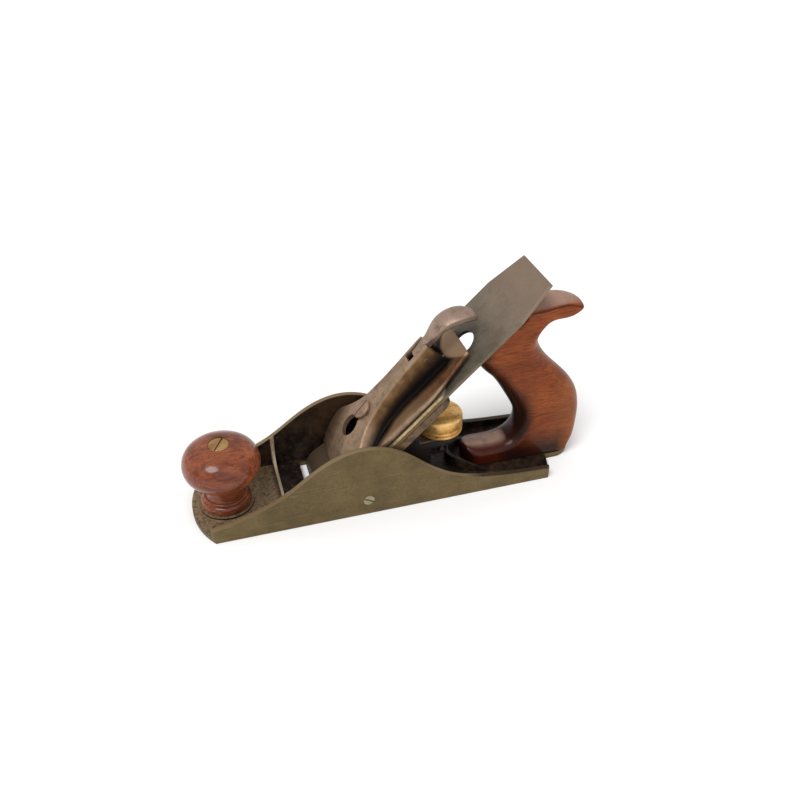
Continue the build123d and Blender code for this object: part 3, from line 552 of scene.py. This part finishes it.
def cap_top(s, y):
    """Height of the lever cap's upper face over the cutter, in millimetres.

    A crown runs up the middle: `half` wide to each side, arched by `arch`, falling within `reach` to the
    floor beside it, which lies at the rim's height or sinks into a valley.
    """
    crown = curve([
        (21, 3.8), (24, 6.2), (30, 9.9), (38, 13.6), (46, 15.9), (54, 16.7), (62, 17.0), (70, 17.1),
        (80, 18.2), (90, 19.3), (104, 20.6), (122, 21.6), (137, 21.6)])(s)
    rim = curve([
        (21, 3.6), (30, 8.6), (40, 12.4), (48, 12.8), (53, 10.0), (57, 7.2), (62, 6.6), (84, 6.4), (96, 5.5),
        (105, 5.2), (137, 5.5)])(s)
    half = curve([
        (21, 24.6), (42, 23.2), (49, 20.6), (54, 17.8), (58, 15.0), (65, 11.4), (72, 9.4), (80, 8.0),
        (90, 6.7), (104, 6.0), (137, 5.9)])(s)
    reach = curve([
        (21, 1.6), (42, 2.8), (49, 5.2), (54, 6.0), (58, 5.8), (65, 4.6), (76, 3.2), (90, 2.6),
        (137, 2.4)])(s)
    arch = curve([(21, 0.3), (40, 1.6), (62, 0.7), (80, 0.2), (137, 0.2)])(s)
    valley = curve([(21, 0), (60, 0), (74, 1.1), (120, 0.9), (124, 0), (137, 0)])(s)
    side = np.abs(y)
    fall = np.clip((side - half) / reach, 0, 1)
    top = crown - arch * np.minimum(side / half, 1) ** 2
    outward = np.clip((side - half) / np.maximum(cap_half_width(s) - half, 1), 0, 1)
    floor = rim - valley * (1 - outward)
    height = floor + (top - floor) * (1 - fall ** 1.9) ** 0.9
    plate = np.clip((s - SPINE_END) / 0.4, 0, 1)
    return height * (1 - plate) + floor * plate


def soften(grid, passes):
    """Averages each height with its four neighbours."""
    for _ in range(passes):
        wide = np.pad(grid, 1, mode="edge")
        beside = wide[:-2, 1:-1] + wide[2:, 1:-1] + wide[1:-1, :-2] + wide[1:-1, 2:]
        grid = (wide[1:-1, 1:-1] * 4 + beside) / 8
    return grid


def lever_cap():
    """The lever cap: crowned hood, tall spine, hollow valleys and thin wings."""
    # Rows up the bed, closer together where the spine ends.
    runs = ((CAP_FIRST, 121.4, 190), (121.6, 124.0, 17), (124.4, CAP_LAST, 26))
    columns = 105
    s = np.concatenate([np.linspace(*run) for run in runs])
    grid_s, grid_u = np.meshgrid(s, np.linspace(-1, 1, columns), indexing="ij")
    grid_y = grid_u * cap_half_width(grid_s)
    top = soften(cap_top(grid_s, grid_y), 3)

    # Edges rounded over: `rounding` deep, from `rounded` in, and less at the two ends.
    rounding, rounded, end_margin = 0.7, 0.9, 0.3
    to_side = (1 - np.abs(grid_u)) * cap_half_width(grid_s)
    to_end = np.minimum(grid_s - CAP_FIRST, CAP_LAST - grid_s) + end_margin
    top -= rounding * np.clip(1 - np.minimum(to_side, to_end) / rounded, 0, 1) ** 2

    # The underside follows the top, a wall below it, between the side walls and up to the spine's end.
    lift, wall = 3.3, 3.0
    hollow_half, hollow_low, hollow_high = 20.0, 27, 120.8
    room = np.clip((hollow_half - np.abs(grid_y)) / 2, 0, 1) * np.clip((grid_s - hollow_low) / 3, 0, 1)
    room = room * np.clip((hollow_high - grid_s) / 1.5, 0, 1)
    under = lift + np.maximum(soften(top, 12) - wall - lift, 0) * room

    rows = len(s)
    size = rows * columns
    vertices = []
    for height in (top, under):
        vertices += [from_bed(*point) for point in zip(grid_s.ravel(), grid_y.ravel(), height.ravel())]
    faces = []
    for i in range(rows - 1):
        for j in range(columns - 1):
            a, b = i * columns + j, (i + 1) * columns + j
            faces += [(a, b, b + 1, a + 1), (size + a + 1, size + b + 1, size + b, size + a)]
    border = [i * columns for i in range(rows)] + [size - columns + j for j in range(1, columns)]
    border += [i * columns + columns - 1 for i in range(rows - 2, -1, -1)] + list(range(columns - 2, 0, -1))
    for a, b in zip(border, border[1:] + border[:1]):
        faces.append((b, a, a + size, b + size))
    piece = new_piece("lever_cap_casting", vertices, faces, "lever_cap")
    corners = ((SLOT_LOW, -SLOT_HALF), (SLOT_HIGH, -SLOT_HALF), (SLOT_HIGH, SLOT_HALF), (SLOT_LOW, SLOT_HALF))
    cut(piece, keyhole_outline(), corners)
    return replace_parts(piece, "lever_cap")


def keyhole_outline():
    """(s, y) points round the hole that passes the screw's head and the narrow end that holds it."""
    meet = math.asin(NARROW_R / WIDE_R)
    wide = np.linspace(meet, 2 * math.pi - meet, 42)
    narrow = np.linspace(-math.pi / 2, math.pi / 2, 20)
    outline = [(WIDE_S + WIDE_R * math.cos(a), WIDE_R * math.sin(a)) for a in wide]
    return outline + [(NARROW_S + NARROW_R * math.cos(a), NARROW_R * math.sin(a)) for a in narrow]


def cut(piece, *outlines):
    """Cuts holes with the given (s, y) outlines right through a piece, square to the bed."""
    below, above = -2.0, 30.0
    for outline in outlines:
        count = len(outline)
        vertices = [tuple(from_bed(s, y, n)) for n in (below, above) for s, y in outline]
        faces = [list(range(count))[::-1], list(range(count, 2 * count))]
        faces += [(k, (k + 1) % count, count + (k + 1) % count, count + k) for k in range(count)]
        mesh = bpy.data.meshes.new("tool")
        mesh.from_pydata(vertices, [], faces)
        tool = bpy.data.objects.new("tool", mesh)
        bpy.context.scene.collection.objects.link(tool)
        cutter = piece.modifiers.new("cut", "BOOLEAN")
        cutter.operation, cutter.solver, cutter.object = "DIFFERENCE", "EXACT", tool
        bpy.context.view_layer.update()
        apply_modifiers(piece)
        bpy.data.objects.remove(tool)
        bpy.data.meshes.remove(mesh)


def thumb_lever():
    """The cam lever: the CAD's side view, widened into a domed thumb pad and rounded all over."""
    step, round_off = 0.4, 0.5
    margin = 3 * step
    segments = section("cam_lever", 0.0)
    flat = np.array([[to_bed(Vector((x, 0, z)))[::2] for x, z in ends] for ends in segments])
    low, high = flat.min((0, 1)) - margin, flat.max((0, 1)) + margin
    s = np.arange(low[0], high[0], step)
    n = np.arange(low[1], high[1], step)
    y = np.arange(-PAD_HALF - margin, PAD_HALF + margin, step)
    grid_s, grid_n = np.meshgrid(s, n, indexing="ij")

    # Up the lever: half its width, how far the pad's sides bend down, and how far the neck's top is lowered.
    half = curve([
        (105, 3.4), (123.6, 3.4), (126, 4.2), (129, 5.6), (134, 7.0), (140, 7.9), (146, 8.1), (151, 7.4),
        (154.5, 5.4), (157, 3.0)])(grid_s)
    droop = curve([(105, 0), (122, 0), (128, 1.0), (134, 1.8), (142, 2.4), (150, 2.0), (157, 1.0)])(grid_s)
    sink = curve([
        (105, 1.1), (121, 1.2), (125, 1.5), (130, 1.0), (136, 0), (142, -0.4), (150, -0.2), (157, 0)])(grid_s)
    neck_low, neck_rise = 14, 4
    lower = grid_n + sink * np.clip((grid_n - neck_low) / neck_rise, 0, 1)

    side = np.stack([signed_distance(flat, grid_s, lower + droop * (across / half) ** 2) for across in y], 1)
    plan = np.abs(y)[None, :, None] - half[:, None, :]
    over = np.hypot(np.maximum(side + round_off, 0), np.maximum(plan + round_off, 0)) - round_off
    field = over + np.minimum(np.maximum(side + round_off, plan + round_off), 0)
    grid, faces = surface_net(field, (s[0], y[0], n[0]), step)
    vertices = [from_bed(*p) for p in grid]
    piece = new_piece("thumb_lever", vertices, faces, "cam_lever")
    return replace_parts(piece, "cam_lever")


# --------------------------------------------------------- marks and painted shading of the pieces

def cap_stains_and_shading(look, tint):
    """Lever cap: orange-brown flanks, painted shade darkening the valleys to near black and the hood's far
    side, paler rims and top plate.
    """
    up, off, across = look.along(UP_BED, BED_ORIGIN), look.along(OFF_BED, BED_ORIGIN), look.across()
    below_crown = look.math("SUBTRACT", look.ramp(up, 62, 122, 17.1, 22.1), off)
    above_hood = look.ramp(up, 58, 68)
    blotch = look.ramp(look.noise(6, 5, 0.6), 0.4, 0.65)
    spine_foot = look.math("ADD", look.ramp(up, 55, 76, 22.5, 10.5), look.ramp(up, 76, 92, 0, -2))
    valley = look.ramp(look.math("SUBTRACT", across, spine_foot), 1.5, 7.0, 1, 0)
    flank = look.times(look.ramp(below_crown, 0.9, 2.2), above_hood, look.ramp(across, 21.5, 24.5, 1, 0))
    rust = look.mix(blotch, srgb(78, 47, 28), srgb(118, 78, 48))
    wing = look.mix(look.ramp(up, 84, 116), srgb(126, 98, 70), rust)
    wall = look.mix(blotch, srgb(86, 60, 32), srgb(122, 90, 54))
    tint = look.mix(look.math("MULTIPLY", flank, 0.9), tint, look.mix(valley, wing, wall))
    # Painted shade down the spine's flanks into the valleys.
    shaded = look.times(look.ramp(below_crown, 3, 9, 0, 0.75), above_hood, valley)
    tint = look.mix(shaded, tint, srgb(36, 21, 14))
    # Near-black painted shade deep in the valleys beside the spine.
    low, past_hood = look.ramp(off, 8.0, 13.0, 1, 0), look.ramp(up, 50, 56)
    deep = look.times(low, past_hood, valley, look.ramp(up, 125, 129, 1, 0))
    tint = look.mix(deep, tint, srgb(10, 7, 6))
    # Painted shade on the hood's far side.
    far_side_shade = look.times(look.ramp(look.axis("Y"), 7 * MM, 21 * MM), look.ramp(up, 50, 60, 1, 0))
    tint = look.mix(look.math("MULTIPLY", far_side_shade, 0.8), tint, srgb(70, 54, 40))
    bend = look.math("MULTIPLY", look.times(across, across), 0.035)
    past_spine = look.ramp(look.math("SUBTRACT", up, bend), 122.5, 125)
    plate = look.times(past_spine, look.ramp(off, 7, 8, 1, 0))
    return look.mix(look.math("MULTIPLY", plate, 0.9), tint, srgb(158, 128, 100))


def lever_underside_shade(look, tint):
    """Thumb lever: painted shade underneath and along its thin edge."""
    facing = look.node("ShaderNodeVectorMath", operation="DOT_PRODUCT")
    look.wire(look.node("ShaderNodeNewGeometry").outputs["Normal"], facing.inputs[0])
    facing.inputs[1].default_value = OFF_BED
    # Painted shade on the surfaces facing down, from the spine's end up.
    facing_down = look.ramp(facing.outputs["Value"], -0.25, 0.2, 1, 0)
    under = look.times(facing_down, look.ramp(look.along(UP_BED, BED_ORIGIN), 118, 122))
    return look.mix(look.math("MULTIPLY", under, 0.85), tint, srgb(40, 26, 20))


def iron_stains_and_shading(look, tint):
    """Cutter and cap iron: warmer top end, rubbed side edges, painted shade on the hole's wall, a painted
    shadow round the hole and painted light on the cap iron under the keyhole.
    """
    up, off, across = look.along(UP_BED, BED_ORIGIN), look.along(OFF_BED, BED_ORIGIN), look.across()
    tint = look.mix(look.times(look.ramp(up, 140, 185), 0.8), tint, srgb(138, 116, 98))
    tint = look.mix(look.times(look.ramp(up, 30, 50, 1, 0), 0.9), tint, srgb(92, 74, 56))

    from_hole = look.math("SUBTRACT", up, CUTTER_HOLE_S)
    radius = look.math("SQRT", look.math("ADD", look.times(from_hole, from_hole), look.times(across, across)))
    # Painted shadow of the cam lever round the cutter's hole.
    ring = look.times(look.ramp(radius, 9.5, 15, 1, 0), look.ramp(look.noise(4, 4, 0.6), 0.3, 0.6, 0.6, 1))
    tint = look.mix(look.math("MULTIPLY", ring, 0.6), tint, srgb(60, 48, 38))
    # Painted shade on the wall of the cutter's hole.
    hole_wall = look.ramp(radius, CUTTER_HOLE_R + 0.05, CUTTER_HOLE_R + 0.5, 1, 0)
    tint = look.mix(hole_wall, tint, srgb(22, 15, 12))

    # Painted light: the cap iron seen through the lever cap's keyhole is made pale where it lies in the
    # hood's shade.
    on_cap_iron = look.ramp(off, 1.5, 2, 0, 0.9)
    under_keyhole = look.times(look.band(up, 40, 68, 4), look.ramp(across, 8, 12, 1, 0), on_cap_iron)
    tint = look.mix(under_keyhole, tint, srgb(214, 168, 128))

    pale_mottle = look.mix(look.ramp(look.noise(3, 4, 0.6), 0.4, 0.6), srgb(150, 124, 84), srgb(186, 160, 118))
    side = look.mix(look.ramp(off, -0.1, 0.1), srgb(104, 84, 56), pale_mottle)
    side = look.mix(look.band(off, -0.2, 0.1, 0.1), side, srgb(30, 22, 16))
    edge = look.ramp(across, IRON_EDGE, IRON_EDGE + 0.1)
    return look.mix(look.times(edge, look.ramp(up, 104, 120, 1, 0.35)), tint, side)


def frog_stains(look, tint):
    """The frog's bed plate: olive-brown, rubbed side edge."""
    brown = look.mix(look.ramp(look.noise(4, 4, 0.6), 0.4, 0.6), srgb(66, 47, 28), srgb(98, 73, 44))
    plate = look.ramp(look.along(OFF_BED, BED_ORIGIN), -8, -7.2)
    return look.mix(look.times(look.ramp(look.across(), 24, 25), plate), tint, brown)


STEEL_NODES = (
    "frog_screws", "frog_washers", "knob_bolt", "tote_rod", "adjuster_post", "post_link_pin", "wheel_fork",
    "fork_screws", "lever_pivot_pin", "cap_iron_screw", "cam_pin", "cap_spring", "spring_rivet")


def paint():
    """Builds the three replaced pieces, gives every piece its look and softens the edges of the casting,
    frog, irons, depth wheel, knob nut and cap screw.
    """
    grip, cap, thumb = handle(), lever_cap(), thumb_lever()
    casting_look().onto(nodes["body_casting"])
    cap_metal = patina_look(
        "cap_patina_and_shading", (158, 132, 108), (128, 106, 86), (84, 64, 48), cap_stains_and_shading, metallic=0.5, specular=0.15)
    cap_metal.onto(cap)
    patina_look("lever_patina_and_shade", (158, 134, 118), (136, 113, 98), (96, 76, 62), lever_underside_shade).onto(thumb)
    irons = patina_look("iron_patina_and_shading", (118, 112, 96), (98, 91, 76), (68, 58, 46), iron_stains_and_shading)
    irons.onto(nodes["cutter"], nodes["cap_iron"])
    steel = patina_look("screw_patina", (122, 104, 90), (96, 78, 66), (50, 36, 30))
    steel.onto(*(nodes[name] for name in STEEL_NODES))
    cross_screw = patina_look("cross_screw_patina", (176, 166, 140), (140, 128, 100), (90, 76, 54))
    cross_screw.onto(nodes["frog_cross_screw"])
    cap_screw = patina_look("cap_screw_patina", (166, 134, 112), (138, 108, 90), (84, 58, 46))
    cap_screw.onto(nodes["lever_cap_screw"])
    dark_iron = patina_look("dark_iron", (40, 32, 28), (28, 21, 18), (16, 12, 10), frog_stains, metallic=0.15)
    dark_iron.onto(nodes["frog"], nodes["adjusting_lever"])
    knob = wood_look(
        "knob_rosewood", (158, 88, 54), (108, 50, 29), (46, 17, 10), pore_stretch=(0.12, 1, 1), gloss=0.2,
        coat=0.5)
    knob.onto(nodes["front_knob"])
    tote = wood_look(
        "tote_rosewood_and_shading", (150, 76, 28), (120, 54, 17), (54, 20, 7), pore_stretch=(0.12, 0.6, 1.6), gloss=0.3,
        coat=0.15, shade=tote_shade)
    tote.onto(grip)
    brass_look("wheel_brass", (208, 154, 80), (246, 202, 126), wheel_grooves).onto(nodes["depth_wheel"])
    brass_look("nut_brass", (148, 112, 66), (184, 150, 98)).onto(nodes["knob_nut"], nodes["tote_nut"])
    round_edges("body_casting", width=0.4, segments=3)
    for node in ("frog", "cutter", "cap_iron", "depth_wheel", "knob_nut", "lever_cap_screw"):
        round_edges(node, width=0.2, segments=2)


# ------------------------------------------------------------ camera and light

def camera():
    """The photo's view of the plane."""
    azimuth, elevation = math.radians(-16.38), math.radians(35.54)
    target, distance = Vector((15.9, 0, 59.82)) * MM, 527.7 * MM
    level = math.cos(elevation)
    back = Vector((math.sin(azimuth) * level, -math.cos(azimuth) * level, math.sin(elevation)))
    made = bpy.data.objects.new("camera", bpy.data.cameras.new("camera"))
    bpy.context.scene.collection.objects.link(made)
    made.location = target + back * distance
    made.rotation_mode = "QUATERNION"
    made.rotation_quaternion = (-back).to_track_quat("-Z", "Y")
    made.data.lens = 38.13
    made.data.clip_start, made.data.clip_end = 0.02, 20
    bpy.context.scene.camera = made


def sun(name, toward, strength, angle):
    """Soft distant light on the side that `toward` points to, `angle` degrees wide."""
    data = bpy.data.lights.new(name, "SUN")
    data.energy, data.angle = strength, math.radians(angle)
    made = bpy.data.objects.new(name, data)
    bpy.context.scene.collection.objects.link(made)
    made.rotation_mode = "QUATERNION"
    made.rotation_quaternion = (-Vector(toward)).to_track_quat("-Z", "Y")


def studio():
    """White surroundings, two soft suns and a pale floor just under the sole."""
    world = bpy.data.worlds.new("studio")
    bpy.context.scene.world = world
    world.use_nodes = True
    background = world.node_tree.nodes["Background"].inputs
    background["Color"].default_value = (1, 1, 1, 1)
    background["Strength"].default_value = 0.7
    sun("key", toward=(-0.45, -0.35, 1.0), strength=1.7, angle=28)
    sun("fill", toward=(0.2, -0.9, 0.6), strength=0.5, angle=60)
    floor_mesh = bpy.data.meshes.new("floor")
    edge, gap = 6.0, 0.2 * MM
    corners = [(-edge, -edge, 0), (edge, -edge, 0), (edge, edge, 0), (-edge, edge, 0)]
    floor_mesh.from_pydata(corners, [], [(0, 1, 2, 3)])
    floor = bpy.data.objects.new("floor", floor_mesh)
    bpy.context.scene.collection.objects.link(floor)
    floor.location = (0, 0, cad_low.z - gap)
    look = Look("pale_floor", roughness=0.85)
    look.colour((0.93, 0.93, 0.93))
    look.onto(floor)
    bpy.context.scene.view_settings.view_transform = "Standard"


paint()
camera()
studio()
